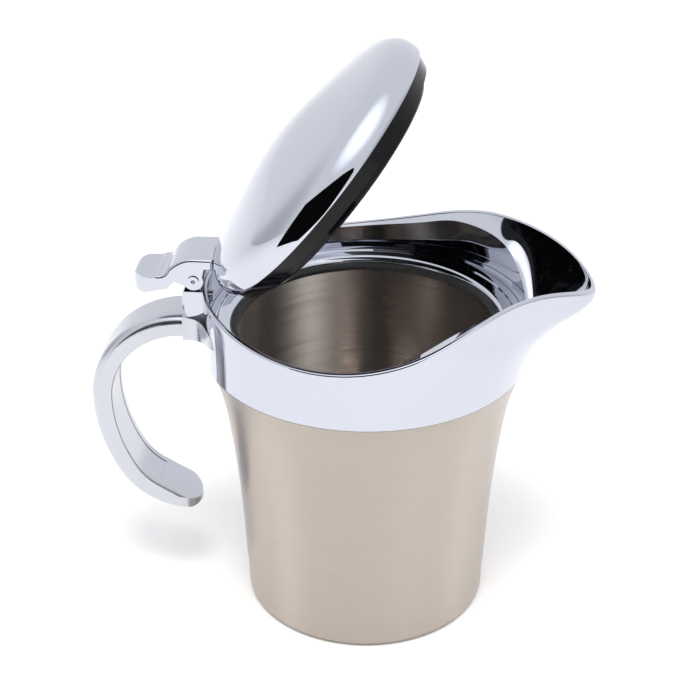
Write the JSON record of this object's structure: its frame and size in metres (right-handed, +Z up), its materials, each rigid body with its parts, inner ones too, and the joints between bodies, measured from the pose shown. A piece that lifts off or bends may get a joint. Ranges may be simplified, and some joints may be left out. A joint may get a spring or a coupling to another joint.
{
  "type": "insulated gravy boat",
  "caption": "Double-walled steel gravy boat with a chromed pouring collar, a C-shaped handle and a thumb-opened hinged lid.",
  "frame": {"origin": "centre of the foot's flat underside, on the table", "axes": "+X towards the spout, -X towards the handle, +Z up; the lid hinges about an axis along Y behind the collar"},
  "size_m": [0.1707, 0.1148, 0.2027],
  "materials": {
    "brushed_shell": "satin steel, brushed round the body",
    "brushed_cup": "steel, brushed round inside the cup",
    "plain_steel": "plain steel",
    "mirror_chrome": "mirror chrome plating",
    "satin_chrome": "satin chrome plating",
    "black_plug": "gloss black plastic",
    "dark_rubber": "dark rubber",
    "nylon": "dark nylon",
    "foam": "insulating foam"
  },
  "bodies": {
    "boat": {"outer_shell": "brushed_shell", "foot_cap": "brushed_shell", "vacuum_disc": "plain_steel", "inner_cup": "brushed_cup", "cup_gasket": "dark_rubber", "collar": "mirror_chrome", "seat_ring": "mirror_chrome", "handle_shell": "satin_chrome", "handle_cover": "satin_chrome", "hinge_block": "mirror_chrome", "hinge_washers": "nylon", "handle_screws": "plain_steel", "block_screw": "plain_steel"},
    "lid": {"lid_cap": "mirror_chrome", "lid_plug": "black_plug", "lid_foam": "foam", "thumb_lever": "mirror_chrome", "lever_screws": "plain_steel", "hinge_pin": "mirror_chrome", "pin_ring": "plain_steel"}
  },
  "joints": [
    {"name": "lid_hinge", "type": "hinge", "parent": "boat", "child": "lid", "pos_m": [-0.057, 0, 0.1228], "axis": [0, 1, 0], "range_deg": [-25, 51.5]}
  ]
}
